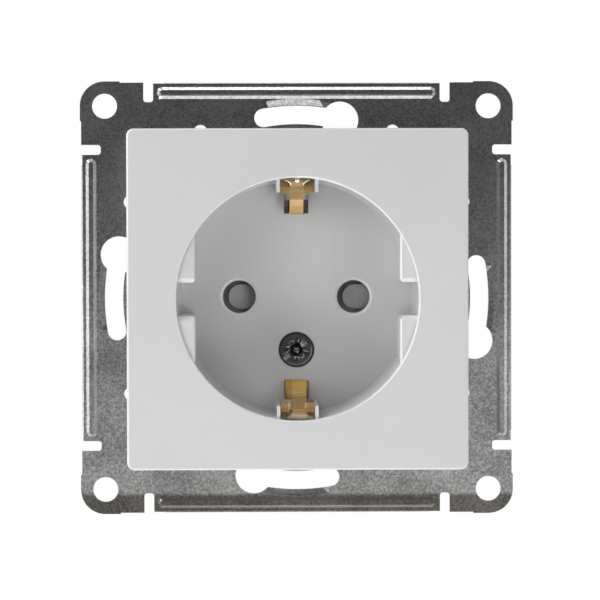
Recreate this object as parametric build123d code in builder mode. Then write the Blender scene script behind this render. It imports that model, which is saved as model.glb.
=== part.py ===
"""Flush wall socket with side earth, without its outer frame.

The wall plane is Y = 0, the face looks along -Y and Z is up. The origin is the centre of
the four corner holes, on the back of the steel support frame. Sizes are in millimetres.
"""

from build123d import *
from math import radians, tan
import os

# Steel support frame
FRAME_SIDE = 71.0
SHEET = 1.0
FRAME_CORNER_R = 4.0
CORNER_HOLE_IN = 4.05
CORNER_HOLE_D = 4.1
EDGE_STEP = 0.2
EDGE_STEP_IN = 6.5
NOTCH_IN = 11.2
NOTCH_W = 1.62
NOTCH_DEPTH = 3.4
NOTCH_R = 0.5
LIP_FROM_NOTCH = 1.69
LIP_SETBACK = 0.12
LIP_R = 0.35
BEAD_FROM_NOTCH = 0.64
BEAD_W = 1.74
BEAD_IN = 1.8
BEAD_H = 0.5
BEAD_SLOPE = 45
BEAD_GROOVE_W = 0.8
BEAD_GROOVE_DEPTH = 0.45
BOX_SCREW_PCD = 60.0
ARC_SLOT_W = 3.04
ARC_SLOT_END = 10.4
KEYHOLE_AT = 13.7
KEYHOLE_D = 6.06
SMALL_HOLE_PCD = 63.0
SMALL_HOLE_D = 2.2
SMALL_HOLE_AT = 30.0
COIN_W = 1.0
COIN_DEPTH = 0.27
COIN_FROM = -4.8
COIN_TO = 4.2
COIN_RUN_OUT = 75
FRAME_OPENING_GAP = 0.75

# White plate with its recess
PLATE_SIDE = 55.0
PLATE_CORNER_R = 1.2
PLATE_EDGE_R = 0.4
PLATE_FACE = 11.6
PLATE_WALL = 1.6
SKIRT_WALL = 1.2
RECESS_D = 39.1
RECESS_DEPTH = 17.5
RECESS_DRAFT = 1.3
RECESS_WALL = 1.2
RIM_R = 0.3
FLOOR_WALL = 2.0
GUIDE_BLOCK = 3.0
GUIDE_GROOVE_W = 5.4
GUIDE_GROOVE_R = 0.6
GUIDE_EDGE = 0.27
GUIDE_LEAD_IN = 0.7
GUIDE_BELOW_FACE = 0.5
PIN_PITCH = 19.0
PIN_HOLE_D = 5.5
PIN_LEAD_IN = 0.4
EARTH_WINDOW_W = 5.65
EARTH_CHEEK = 0.55
EARTH_CHEEK_LENGTH = 2.75
EARTH_WINDOW_BELOW_FACE = 0.7
EARTH_RELIEF = 0.45
EARTH_SLOT_W = 4.05
EARTH_SLOT_FROM = 13.85
EARTH_SLOT_LENGTH = 2.25
EARTH_SHELF_LENGTH = 0.95
EARTH_SHELF_DEPTH = 0.55
RIB = 1.0

# Cover screw and its threaded insert
COVER_SCREW_BELOW = 8.8
COVER_SCREW_D = 3.2
COVER_HEAD_D = 5.75
COVER_HEAD_H = 1.3
COVER_HEAD_PROUD = 0.3
COVER_HEAD_DOME = 0.25
COVER_CROSS = (3.9, 0.95)
COVER_CROSS_DEPTH = 0.97
COVER_CROSS_TURN = -10
COVER_SLOT_W = 0.75
COVER_SLOT_DEPTH = 0.65
COVER_SLOT_TURN = 37
COVER_SCREW_LENGTH = 7.2
INSERT_D = 5.0
INSERT_LENGTH = 5.2

# Moulded insert behind the frame
BODY_RIM = 0.75
BODY_CORNER_R = 7.0
BODY_BACK = 30.0
BODY_FLOOR = 1.5
BODY_WALL = 3.25
BODY_EDGE = 0.8
POST_FROM = 14.0
STAKE_IN = 3.9
STAKE_D = 2.8
STAKE_HEAD_D = 4.0
STAKE_HEAD_H = 0.8
STAKE_HEAD_TAPER = 20
CHANNEL_RIB = 1.0
EARTH_CHANNEL_W = 8.4

# Lid over the contacts, with the guide for the shutter
LID_RIM = 1.0
LID_THICK = 4.9
LID_SCREW_IN = 3.5
LID_SCREW_Z = 7.0
LID_SCREW_D = 2.2
LID_SCREW_HEAD_D = 4.2
LID_SCREW_HEAD_H = 1.6
LID_SCREW_LENGTH = 11.0
LID_CROSS = (2.5, 0.6)
LID_CROSS_DEPTH = 0.95
LID_COLUMN_D = 3.8
BOSS_WALL = 1.2

# Shutter and its spring
SHUTTER_TRAVEL = 6.3
SHUTTER_THICK = 2.15
SHUTTER_H = 8.0
SHUTTER_CORNER_R = 0.6
SHUTTER_LAP = 0.65
RAMP_W = 4.1
RAMP_IN = 1.0
RAMP_DROP = 0.9
RAMP_STEP = 0.3
BRIDGE = 1.1
SPRING_D = 2.55
SPRING_WIRE = 0.35
SPRING_LENGTH = 9.1
SPRING_TURNS = 6
SPRING_END_GAP = 0.05
SPRING_POST = 1.2
SPRING_POST_X = -4.7

# Contacts and terminals
BRONZE = 0.8
CONTACT_W = 6.0
CONTACT_FRONT = 14.6
PINCH_AT = 18.5
PINCH_GAP = 4.6
CONTACT_SPREAD = 3.7
CONTACT_FOOT = 2.5
TERMINAL_GAP = 0.3
TERMINAL_W = 6.4
TERMINAL_H = 6.7
TERMINAL_BELOW_WALL = 0.85
TERMINAL_FRONT = 16.6
TERMINAL_BACK = 27.0
TERMINAL_SCREW_D = 3.3
TERMINAL_SCREW_Y = 22.0
TERMINAL_HEAD_D = 5.4
TERMINAL_HEAD_H = 2.0
TERMINAL_SLOT_W = 0.9
TERMINAL_SLOT_TURN = 30
CLAMP = 1.0
CLAMP_W = 5.8
CLAMP_LENGTH = 7.4
CLAMP_BELOW = 3.2
WIRE_HOLE_D = 2.9
WIRE_HOLE_PITCH = 3.4
WIRE_LEAD_IN = 0.2
BEND_R = 0.8

# Earth contact
BRASS = 0.6
EARTH_W = 5.45
EARTH_LIMB_IN = 0.1
TONGUE_W = 2.3
TONGUE_FRONT = -6.9
TONGUE_FOLD = 1.15
TONGUE_FOLD_R = 0.4
TONGUE_ROOT_R = 0.9
TONGUE_ROOT_IN = 0.25
TONGUE_BEND = (4.4, 16.1)
TONGUE_KNEE = (2.4, 13.95)
TONGUE_TIP = (14.65, 15.25)
TONGUE_TIP_SHORT = 2.0
TONGUE_BEND_R = 1.2
TONGUE_KNEE_R = 0.7
TONGUE_SEAT = 0.3
LOWER_TONGUE_X = 0.35
SEAT_PLATE_W = 3.75
EAR_FRONT = -5.7
EAR_ROOT = 3.0
EAR_GAP = 0.05
EAR_BEND_R = 1.2
EAR_END = 17.3
EAR_STEP = 0.35
EAR_STEP_W = 0.85
EARTH_ARM = 2.9

# Spreading claws
CLAW_SCREW_D = 3.0
CLAW_HEAD_D = 5.0
CLAW_HEAD_H = 2.0
CLAW_SLOT_W = 0.8
CLAW_SLOT_TURN = 20
CLAW_SCREW_LENGTH = 21.0
CLAW_PIVOT_IN = 0.45
CLAW_PIVOT_Y = 3.0
CLAW_STEEL = 1.0
CLAW_WAIST = 6.1
CLAW_INNER_IN = 1.45
CLAW_W = 5.1
CLAW_TIP_LENGTH = 1.6
CLAW_BODY_GAP = 0.4
CLAW_BACK = 16.5
CLAW_CHEEK_AT = 2.8
CLAW_EYE_R = 1.7
CLAW_TRUNNION_D = 1.6
CLAW_FORK_W = 3.5
CLAW_NUT = 5.5
CLAW_NUT_H = 2.4
TOOTH = 1.2

# Clearances
RUNNING_FIT = 0.05
SLIDE_GAP = 0.1
SIDE_GAP = 0.2
HOLE_GAP = 0.1

# Places that follow from the sizes above
FRAME_HALF = FRAME_SIDE / 2
CORNER_HOLE_PITCH = FRAME_SIDE - 2 * CORNER_HOLE_IN
NOTCH_AT = FRAME_HALF - NOTCH_IN
LIP_LENGTH = 2 * (NOTCH_AT - NOTCH_W / 2 - LIP_FROM_NOTCH)
BEAD_LENGTH = 2 * (NOTCH_AT - NOTCH_W / 2 - BEAD_FROM_NOTCH)
BEAD_AT = FRAME_HALF - BEAD_IN
RECESS_FLOOR = RECESS_DEPTH - PLATE_FACE
FLOOR_BACK = RECESS_FLOOR + FLOOR_WALL
RECESS_R = RECESS_D / 2
RECESS_OUT = RECESS_R + RECESS_WALL
GUIDE_ACROSS = RECESS_D - 2 * GUIDE_BLOCK
BODY_SIDE = 2 * (RECESS_OUT + BODY_RIM)
FRAME_OPENING_R = RECESS_OUT + FRAME_OPENING_GAP
FLOOR_R = RECESS_R - RECESS_DEPTH * tan(radians(RECESS_DRAFT))
LID_FRONT = FLOOR_BACK + SIDE_GAP
LID_BACK = LID_FRONT + LID_THICK
CHAMBER_BACK = BODY_BACK - BODY_FLOOR
CAVITY = BODY_SIDE / 2 - BODY_WALL
STAKE_AT = BODY_SIDE / 2 - STAKE_IN
LID_SIDE = BODY_SIDE - 2 * LID_RIM - 2 * SLIDE_GAP
LID_SCREW_X = LID_SIDE / 2 - LID_SCREW_IN
TERMINAL_X = LID_SCREW_X - LID_COLUMN_D / 2 - TERMINAL_GAP - TERMINAL_W / 2
TERMINAL_TO = CAVITY - TERMINAL_BELOW_WALL
TERMINAL_FROM = TERMINAL_TO - TERMINAL_H
CLAMP_AT = TERMINAL_TO - CLAMP_BELOW
EARTH_LIMB_AT = RECESS_R - EARTH_LIMB_IN
CLAW_SCREW_X = RECESS_OUT + CLAW_HEAD_D / 2 + SLIDE_GAP
CLAW_PIVOT_X = CLAW_SCREW_X - CLAW_PIVOT_IN
CLAW_INNER = CLAW_SCREW_X - CLAW_INNER_IN
CLAW_OUTER = CLAW_INNER + CLAW_W
CLAW_TIP = CLAW_OUTER + CLAW_TIP_LENGTH
PIN_X = PIN_PITCH / 2
PIN_HOLE_R = PIN_HOLE_D / 2
SHUTTER_FRONT = LID_FRONT + RUNNING_FIT
SHUTTER_END = PIN_X + PIN_HOLE_R + SHUTTER_LAP
SHUTTER_OPEN_FROM = -(PIN_X - PIN_HOLE_R - SHUTTER_LAP)
SHUTTER_OPEN_TO = SHUTTER_TRAVEL - (PIN_X - PIN_HOLE_R - SHUTTER_LAP / 4)
GUIDE_BACK = SHUTTER_FRONT + SHUTTER_THICK + SLIDE_GAP
SPRING_Y = SHUTTER_FRONT + SPRING_D / 2
WIRE_Z = (TERMINAL_FROM + BRONZE / 2 + CLAMP_AT) / 2
EARTH_OUT = EARTH_LIMB_AT + BRASS / 2


def at(y):
    """Plane square to Y at depth y; a positive extrusion runs towards the face."""
    return Plane.XZ.offset(-y)


def coined_band_part():
    """What the press takes off the outer edge of the four slots, sloping into the slot."""
    slot_r = (BOX_SCREW_PCD + ARC_SLOT_W) / 2
    with BuildPart() as band:
        with BuildSketch(Plane.XY):
            with BuildLine():
                Polyline((slot_r - COIN_W, 2 * COIN_DEPTH - SHEET), (slot_r + COIN_W, -SHEET),
                         (slot_r - COIN_W, -SHEET), close=True)
            make_face()
        revolve(axis=Axis.Y)
        with BuildSketch(at(COIN_DEPTH - SHEET)):
            with PolarLocations(0, 4):
                with Locations((slot_r, (COIN_FROM + COIN_TO) / 2)):
                    Rectangle(4 * COIN_W, COIN_TO - COIN_FROM)
        extrude(amount=2 * COIN_DEPTH, taper=-COIN_RUN_OUT, mode=Mode.INTERSECT)
    return band


def support_frame_part():
    """Stamped sheet with notches, beads, rolled lips, keyhole slots and claw ears."""
    edge = FRAME_HALF - EDGE_STEP
    step_at = FRAME_HALF - EDGE_STEP_IN
    lip_wall = edge - LIP_SETBACK - (BOX_SCREW_PCD + ARC_SLOT_W) / 2
    slot_arc = CenterArc((0, 0), BOX_SCREW_PCD / 2, -KEYHOLE_AT, KEYHOLE_AT + ARC_SLOT_END)
    ear_inner = CLAW_CHEEK_AT + CLAW_STEEL + SIDE_GAP
    ear_outer = ear_inner + SHEET
    ear_length = CLAW_PIVOT_Y + CLAW_EYE_R
    ear_window = (CLAW_PIVOT_X + CLAW_EYE_R, ear_length)
    with BuildPart() as frame:
        with BuildSketch(at(0)):
            RectangleRounded(FRAME_SIDE, FRAME_SIDE, FRAME_CORNER_R)
            with PolarLocations(FRAME_HALF, 4):
                Rectangle(2 * EDGE_STEP, 2 * step_at, mode=Mode.SUBTRACT)
            between = NOTCH_AT - LIP_LENGTH / 2
            with PolarLocations(0, 4):
                with Locations((edge, LIP_LENGTH / 2 + between / 2),
                               (edge, -LIP_LENGTH / 2 - between / 2)):
                    Rectangle(2 * LIP_SETBACK, between, mode=Mode.SUBTRACT)
                with Locations((FRAME_HALF, NOTCH_AT), (FRAME_HALF, -NOTCH_AT)):
                    RectangleRounded(2 * NOTCH_DEPTH, NOTCH_W, NOTCH_R, mode=Mode.SUBTRACT)
                SlotArc(slot_arc, ARC_SLOT_W, mode=Mode.SUBTRACT)
            with PolarLocations(BOX_SCREW_PCD / 2, 4, start_angle=-KEYHOLE_AT):
                Circle(KEYHOLE_D / 2, mode=Mode.SUBTRACT)
            for angle in (SMALL_HOLE_AT, -SMALL_HOLE_AT):
                with PolarLocations(SMALL_HOLE_PCD / 2, 4, start_angle=angle):
                    Circle(SMALL_HOLE_D / 2, mode=Mode.SUBTRACT)
            with GridLocations(CORNER_HOLE_PITCH, CORNER_HOLE_PITCH, 2, 2):
                Circle(CORNER_HOLE_D / 2, mode=Mode.SUBTRACT)
            with GridLocations(2 * STAKE_AT, 2 * STAKE_AT, 2, 2):
                Circle(STAKE_D / 2 + HOLE_GAP, mode=Mode.SUBTRACT)
            Circle(FRAME_OPENING_R, mode=Mode.SUBTRACT)
            with PolarLocations(0, 2):
                with Locations((CLAW_SCREW_X, 0)):
                    Circle(CLAW_SCREW_D / 2 + SIDE_GAP, mode=Mode.SUBTRACT)
                with Locations((CLAW_SCREW_X / 2, 0)):
                    Rectangle(CLAW_SCREW_X, CLAW_SCREW_D + 2 * SIDE_GAP, mode=Mode.SUBTRACT)
                with Locations((ear_window[0] / 2, ear_outer + ear_window[1] / 2),
                               (ear_window[0] / 2, -ear_outer - ear_window[1] / 2)):
                    Rectangle(*ear_window, mode=Mode.SUBTRACT)
        extrude(amount=SHEET)
        front_face = frame.faces().sort_by(Axis.Y)[0]
        lips = front_face.edges().filter_by(GeomType.LINE).filter_by(
            lambda e: abs(e.length - LIP_LENGTH) < 0.01)
        fillet(lips, min(LIP_R, lip_wall / 2))
        add(coined_band_part().part, mode=Mode.SUBTRACT)
        with BuildSketch(at(-SHEET)):
            with PolarLocations(BEAD_AT, 4):
                SlotOverall(BEAD_LENGTH, BEAD_W, rotation=90)
        extrude(amount=BEAD_H, taper=BEAD_SLOPE)
        with BuildSketch(at(0)):
            with PolarLocations(BEAD_AT, 4):
                SlotOverall(BEAD_LENGTH - BEAD_W + BEAD_GROOVE_W, BEAD_GROOVE_W, rotation=90)
        extrude(amount=BEAD_GROOVE_DEPTH, mode=Mode.SUBTRACT)
        for level in (ear_inner, -ear_outer):
            with BuildSketch(Plane.XY.offset(level)):
                for side in (1, -1):
                    with Locations((side * CLAW_PIVOT_X, CLAW_PIVOT_Y / 2 - SHEET / 4)):
                        Rectangle(2 * CLAW_EYE_R, CLAW_PIVOT_Y + SHEET / 2)
                    with Locations((side * CLAW_PIVOT_X, CLAW_PIVOT_Y)):
                        Circle(CLAW_EYE_R)
                with Locations((CLAW_PIVOT_X, CLAW_PIVOT_Y), (-CLAW_PIVOT_X, CLAW_PIVOT_Y)):
                    Circle(CLAW_TRUNNION_D / 2 + RUNNING_FIT, mode=Mode.SUBTRACT)
            extrude(amount=SHEET)
    return frame


def recess_part():
    """The drafted round space of the recess."""
    with BuildPart() as recess:
        with BuildSketch(Plane.XY):
            with BuildLine():
                Polyline((0, RECESS_FLOOR), (FLOOR_R, RECESS_FLOOR), (RECESS_R, -PLATE_FACE),
                         (0, -PLATE_FACE), close=True)
            make_face()
        revolve(axis=Axis.Y)
    return recess


def groove_lead_in_part():
    """What the sloping lead-in takes off both sides of the guide groove."""
    front = GUIDE_BELOW_FACE - PLATE_FACE
    narrow = GUIDE_GROOVE_W / 2
    wide = narrow + GUIDE_LEAD_IN
    with BuildPart() as lead_in:
        with BuildSketch(Plane.YZ.offset(-RECESS_R)):
            with BuildLine():
                Polyline((front + GUIDE_LEAD_IN, -narrow), (front + GUIDE_LEAD_IN, narrow),
                         (front, wide), (-PLATE_FACE, wide), (-PLATE_FACE, -wide),
                         (front, -wide), close=True)
            make_face()
        extrude(amount=RECESS_D)
        add(recess_part().part, mode=Mode.INTERSECT)
    return lead_in


def cover_plate_part():
    """Square plate, skirt, drafted round recess, guide blocks, pin holes, earth windows."""
    skirt_depth = PLATE_FACE - SHEET
    window_front = EARTH_WINDOW_BELOW_FACE - PLATE_FACE
    relief_r = RECESS_R + EARTH_RELIEF
    cheek_x = EARTH_WINDOW_W / 2 + EARTH_CHEEK / 2
    rib_from = RECESS_R + RECESS_WALL / 2
    rib_to = (PLATE_SIDE / 2 - SKIRT_WALL / 2) * 2 ** 0.5
    with BuildPart() as plate:
        with BuildSketch(at(-SHEET)):
            RectangleRounded(PLATE_SIDE, PLATE_SIDE, PLATE_CORNER_R)
        extrude(amount=skirt_depth)
        fillet(plate.faces().sort_by(Axis.Y)[0].edges(), PLATE_EDGE_R)
        with BuildSketch(at(-SHEET)):
            inside = PLATE_SIDE - 2 * SKIRT_WALL
            Rectangle(inside, inside)
        extrude(amount=skirt_depth - PLATE_WALL, mode=Mode.SUBTRACT)
        with BuildSketch(Plane.XY):
            with BuildLine():
                Polyline((0, FLOOR_BACK), (FLOOR_R + RECESS_WALL, FLOOR_BACK),
                         (RECESS_OUT, PLATE_WALL / 2 - PLATE_FACE),
                         (0, PLATE_WALL / 2 - PLATE_FACE), close=True)
            make_face()
        revolve(axis=Axis.Y)
        with BuildSketch(at(-SHEET - 2 * STAKE_HEAD_H)):
            with PolarLocations((rib_from + rib_to) / 2, 4, start_angle=45):
                Rectangle(rib_to - rib_from, RIB)
        extrude(amount=skirt_depth - 2 * STAKE_HEAD_H - PLATE_WALL / 2)
        add(recess_part().part, mode=Mode.SUBTRACT)
        rim = plate.edges().filter_by(GeomType.CIRCLE).filter_by(
            lambda e: abs(e.radius - RECESS_R) < 0.01)
        fillet(rim, RIM_R)
        with BuildSketch(at(RECESS_FLOOR)):
            Circle(RECESS_R + RECESS_WALL / 3)
            Rectangle(GUIDE_ACROSS, RECESS_D * 2, mode=Mode.SUBTRACT)
            Rectangle(RECESS_D * 2, GUIDE_GROOVE_W, mode=Mode.SUBTRACT)
        extrude(amount=RECESS_DEPTH - GUIDE_BELOW_FACE)
        guide_front = GUIDE_BELOW_FACE - PLATE_FACE
        guides = plate.edges().filter_by(Axis.Y).filter_by(
            lambda e: abs(abs(e.center().X) - GUIDE_ACROSS / 2) < 0.01
            and abs(abs(e.center().Z) - GUIDE_GROOVE_W / 2) < 0.01)
        fillet(guides, GUIDE_GROOVE_R)
        guide_edges = plate.edges().filter_by(Axis.Z).filter_by(
            lambda e: abs(abs(e.center().X) - GUIDE_ACROSS / 2) < 0.01
            and abs(e.center().Y - guide_front) < 0.01)
        chamfer(guide_edges, GUIDE_EDGE)
        add(groove_lead_in_part().part, mode=Mode.SUBTRACT)
        with BuildSketch(at(RECESS_FLOOR)):
            for side in (1, -1):
                with Locations((0, side * (relief_r + EARTH_SLOT_FROM) / 2)):
                    Rectangle(EARTH_WINDOW_W, relief_r - EARTH_SLOT_FROM)
        extrude(amount=RECESS_FLOOR - window_front, mode=Mode.SUBTRACT)
        with BuildSketch(at(RECESS_FLOOR)):
            for side in (1, -1):
                with Locations((cheek_x, side * (relief_r - EARTH_CHEEK_LENGTH / 2)),
                               (-cheek_x, side * (relief_r - EARTH_CHEEK_LENGTH / 2))):
                    Rectangle(EARTH_CHEEK, EARTH_CHEEK_LENGTH)
        extrude(amount=RECESS_FLOOR - window_front)
        with BuildSketch(at(RECESS_FLOOR + EARTH_SHELF_DEPTH)):
            shelf = EARTH_SLOT_LENGTH + EARTH_SHELF_LENGTH
            with Locations((0, EARTH_SLOT_FROM + shelf / 2), (0, -EARTH_SLOT_FROM - shelf / 2)):
                Rectangle(EARTH_SLOT_W, shelf)
        extrude(amount=EARTH_SHELF_DEPTH, mode=Mode.SUBTRACT)
        with BuildSketch(at(FLOOR_BACK)):
            for side in (1, -1):
                with Locations((0, side * (EARTH_SLOT_FROM + EARTH_SLOT_LENGTH / 2))):
                    Rectangle(EARTH_SLOT_W, EARTH_SLOT_LENGTH)
                limb_hole = BRASS + 2 * SIDE_GAP
                with Locations((0, side * EARTH_LIMB_AT)):
                    Rectangle(EARTH_WINDOW_W, limb_hole)
            with Locations((PIN_X, 0), (-PIN_X, 0)):
                Circle(PIN_HOLE_R)
            with Locations((0, -COVER_SCREW_BELOW)):
                Circle(COVER_SCREW_D / 2 + HOLE_GAP)
        extrude(amount=FLOOR_WALL, mode=Mode.SUBTRACT)
        pin_edges = plate.edges().filter_by(GeomType.CIRCLE).filter_by(
            lambda e: abs(e.radius - PIN_HOLE_R) < 0.01 and abs(e.center().Y - RECESS_FLOOR) < 0.01)
        chamfer(pin_edges, PIN_LEAD_IN)
        with BuildSketch(at(RECESS_FLOOR + COVER_HEAD_H - COVER_HEAD_PROUD)):
            with Locations((0, -COVER_SCREW_BELOW)):
                Circle(COVER_HEAD_D / 2 + HOLE_GAP)
        extrude(amount=COVER_HEAD_H - COVER_HEAD_PROUD, mode=Mode.SUBTRACT)
    return plate


def cover_screw_part():
    """Pan head with a cross and a slot, plain shank in place of the thread."""
    seat = RECESS_FLOOR + COVER_HEAD_H - COVER_HEAD_PROUD
    top = seat - COVER_HEAD_H
    with BuildPart() as screw:
        with BuildSketch(at(seat)):
            with Locations((0, -COVER_SCREW_BELOW)):
                Circle(COVER_HEAD_D / 2)
        extrude(amount=COVER_HEAD_H)
        fillet(screw.faces().sort_by(Axis.Y)[0].edges(), COVER_HEAD_DOME)
        with BuildSketch(at(seat + COVER_SCREW_LENGTH)):
            with Locations((0, -COVER_SCREW_BELOW)):
                Circle(COVER_SCREW_D / 2)
        extrude(amount=COVER_SCREW_LENGTH)
        with BuildSketch(at(top)):
            with Locations((0, -COVER_SCREW_BELOW)):
                Rectangle(*COVER_CROSS, rotation=COVER_CROSS_TURN)
                Rectangle(*COVER_CROSS, rotation=COVER_CROSS_TURN + 90)
        extrude(amount=-COVER_CROSS_DEPTH, mode=Mode.SUBTRACT)
        with BuildSketch(at(top)):
            with Locations((0, -COVER_SCREW_BELOW)):
                Rectangle(2 * COVER_HEAD_D, COVER_SLOT_W, rotation=COVER_SLOT_TURN)
        extrude(amount=-COVER_SLOT_DEPTH, mode=Mode.SUBTRACT)
    return screw


def base_housing_part():
    """Square moulding with rounded corners, four posts, chambers and wire entries."""
    nut_groove_x = CLAW_SCREW_X - CLAW_NUT / 2 - SIDE_GAP - SLIDE_GAP
    groove_h = 2 * (CLAW_CHEEK_AT + CLAW_STEEL + SIDE_GAP)
    arm_slot = EARTH_ARM + 2 * SIDE_GAP
    with BuildPart() as body:
        with BuildSketch(at(BODY_BACK)):
            RectangleRounded(BODY_SIDE, BODY_SIDE, BODY_CORNER_R)
        extrude(amount=BODY_BACK)
        chamfer(body.faces().sort_by(Axis.Y)[-1].edges(), BODY_EDGE)
        with BuildSketch(at(LID_FRONT)):
            Circle(RECESS_OUT + SIDE_GAP)
            Rectangle(2 * POST_FROM, 2 * BODY_SIDE)
            Rectangle(2 * BODY_SIDE, 2 * POST_FROM)
        extrude(amount=LID_FRONT, mode=Mode.SUBTRACT)
        with BuildSketch(at(LID_BACK)):
            Circle(RECESS_OUT + SIDE_GAP)
            Rectangle(LID_SIDE + 2 * SLIDE_GAP, LID_SIDE + 2 * SLIDE_GAP, mode=Mode.INTERSECT)
        extrude(amount=LID_THICK, mode=Mode.SUBTRACT)
        with BuildSketch(at(CHAMBER_BACK)):
            RectangleRounded(2 * CAVITY, 2 * CAVITY, BODY_CORNER_R - BODY_WALL)
            rib_at = EARTH_CHANNEL_W / 2 + CHANNEL_RIB / 2
            with Locations((rib_at, 0), (-rib_at, 0)):
                Rectangle(CHANNEL_RIB, 2 * CAVITY, mode=Mode.SUBTRACT)
            with Locations((LID_SCREW_X, LID_SCREW_Z), (-LID_SCREW_X, -LID_SCREW_Z)):
                Circle(LID_COLUMN_D / 2, mode=Mode.SUBTRACT)
            Rectangle(EARTH_WINDOW_W, 2 * (EARTH_OUT + SIDE_GAP))
        extrude(amount=CHAMBER_BACK - LID_BACK, mode=Mode.SUBTRACT)
        with BuildSketch(at(CHAMBER_BACK)):
            with Locations((-rib_at, SIDE_GAP - TERMINAL_FROM + EARTH_ARM / 2)):
                Rectangle(2 * CHANNEL_RIB, arm_slot)
        extrude(amount=2 * BRONZE, mode=Mode.SUBTRACT)
        with BuildSketch(at(BODY_BACK)):
            for x, z in ((TERMINAL_X, WIRE_Z), (-TERMINAL_X, WIRE_Z), (-TERMINAL_X, -WIRE_Z)):
                with Locations((x - WIRE_HOLE_PITCH / 2, z), (x + WIRE_HOLE_PITCH / 2, z)):
                    Circle(WIRE_HOLE_D / 2)
        extrude(amount=BODY_FLOOR, mode=Mode.SUBTRACT)
        wire_edges = body.edges().filter_by(GeomType.CIRCLE).filter_by(
            lambda e: abs(e.radius - WIRE_HOLE_D / 2) < 0.01 and abs(e.center().Y - BODY_BACK) < 0.01)
        chamfer(wire_edges, WIRE_LEAD_IN)
        with BuildSketch(Plane.XY.offset(CAVITY)):
            with Locations((TERMINAL_X, TERMINAL_SCREW_Y), (-TERMINAL_X, TERMINAL_SCREW_Y)):
                Circle(TERMINAL_HEAD_D / 2 + SIDE_GAP)
        extrude(amount=BODY_WALL, mode=Mode.SUBTRACT)
        with BuildSketch(Plane.XY.offset(-BODY_SIDE / 2)):
            with Locations((-TERMINAL_X, TERMINAL_SCREW_Y)):
                Circle(TERMINAL_HEAD_D / 2 + SIDE_GAP)
        extrude(amount=BODY_WALL, mode=Mode.SUBTRACT)
        for groove_x, front in ((nut_groove_x, LID_BACK + SHEET), (CLAW_INNER - CLAW_BODY_GAP, 0)):
            with BuildSketch(at(BODY_BACK)):
                for side in (1, -1):
                    with Locations((side * (groove_x + BODY_WALL), 0)):
                        Rectangle(2 * BODY_WALL, groove_h)
            extrude(amount=BODY_BACK - front, mode=Mode.SUBTRACT)
        with BuildSketch(at(0)):
            with GridLocations(2 * STAKE_AT, 2 * STAKE_AT, 2, 2):
                Circle(STAKE_D / 2)
        extrude(amount=SHEET)
        with BuildSketch(at(-SHEET)):
            with GridLocations(2 * STAKE_AT, 2 * STAKE_AT, 2, 2):
                Circle(STAKE_HEAD_D / 2)
        extrude(amount=STAKE_HEAD_H, taper=STAKE_HEAD_TAPER)
        with BuildSketch(at(LID_BACK + LID_SCREW_LENGTH)):
            with Locations((LID_SCREW_X, LID_SCREW_Z), (-LID_SCREW_X, -LID_SCREW_Z)):
                Circle(LID_SCREW_D / 2 + RUNNING_FIT)
        extrude(amount=LID_SCREW_LENGTH, mode=Mode.SUBTRACT)
    return body


def contact_cover_part():
    """Round lid with flats, shutter guide, pin holes, screw boss and narrow tongue slots."""
    guide_from = -SHUTTER_END - SHUTTER_TRAVEL - SIDE_GAP
    guide_to = SHUTTER_END + SIDE_GAP
    boss_back = LID_FRONT + INSERT_LENGTH + BRONZE
    with BuildPart() as lid:
        with BuildSketch(at(LID_BACK)):
            Circle(RECESS_OUT)
            Rectangle(LID_SIDE, LID_SIDE, mode=Mode.INTERSECT)
        extrude(amount=LID_THICK)
        with BuildSketch(at(boss_back)):
            with Locations((0, -COVER_SCREW_BELOW)):
                Circle(INSERT_D / 2 + BOSS_WALL)
        extrude(amount=boss_back - LID_BACK + SHEET)
        with BuildSketch(at(GUIDE_BACK)):
            with Locations(((guide_from + guide_to) / 2, 0)):
                Rectangle(guide_to - guide_from, SHUTTER_H + 2 * SLIDE_GAP)
        extrude(amount=GUIDE_BACK - LID_FRONT, mode=Mode.SUBTRACT)
        with BuildSketch(at(SPRING_Y + SPRING_D / 2 + SIDE_GAP)):
            with Locations((SPRING_POST_X + SPRING_LENGTH / 2, 0)):
                Rectangle(SPRING_LENGTH, SPRING_D + 2 * SIDE_GAP)
        extrude(amount=SPRING_D, mode=Mode.SUBTRACT)
        with BuildSketch(at(GUIDE_BACK)):
            with Locations((SPRING_POST_X - SPRING_POST / 2, 0)):
                Rectangle(SPRING_POST, SPRING_D)
        extrude(amount=GUIDE_BACK - SHUTTER_FRONT)
        with BuildSketch(at(boss_back)):
            with Locations((PIN_X, 0), (-PIN_X, 0)):
                Circle(PIN_HOLE_R + SIDE_GAP)
            for side in (1, -1):
                with Locations((0, side * (EARTH_SLOT_FROM + EARTH_SLOT_LENGTH / 2))):
                    Rectangle(TONGUE_W + 2 * SIDE_GAP, EARTH_SLOT_LENGTH)
                with Locations((0, side * EARTH_LIMB_AT)):
                    Rectangle(EARTH_WINDOW_W, BRASS + 2 * SIDE_GAP)
            with Locations((0, -COVER_SCREW_BELOW)):
                Circle(COVER_SCREW_D / 2 + HOLE_GAP)
            with Locations((LID_SCREW_X, LID_SCREW_Z), (-LID_SCREW_X, -LID_SCREW_Z)):
                Circle(LID_SCREW_D / 2 + HOLE_GAP)
        extrude(amount=boss_back - LID_FRONT, mode=Mode.SUBTRACT)
        with BuildSketch(at(LID_FRONT + LID_SCREW_HEAD_H + SLIDE_GAP)):
            with Locations((LID_SCREW_X, LID_SCREW_Z), (-LID_SCREW_X, -LID_SCREW_Z)):
                Circle(LID_SCREW_HEAD_D / 2 + HOLE_GAP)
        extrude(amount=LID_SCREW_HEAD_H + SLIDE_GAP, mode=Mode.SUBTRACT)
        with BuildSketch(at(LID_FRONT + INSERT_LENGTH)):
            with Locations((0, -COVER_SCREW_BELOW)):
                Circle(INSERT_D / 2)
        extrude(amount=INSERT_LENGTH, mode=Mode.SUBTRACT)
    return lid


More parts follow.
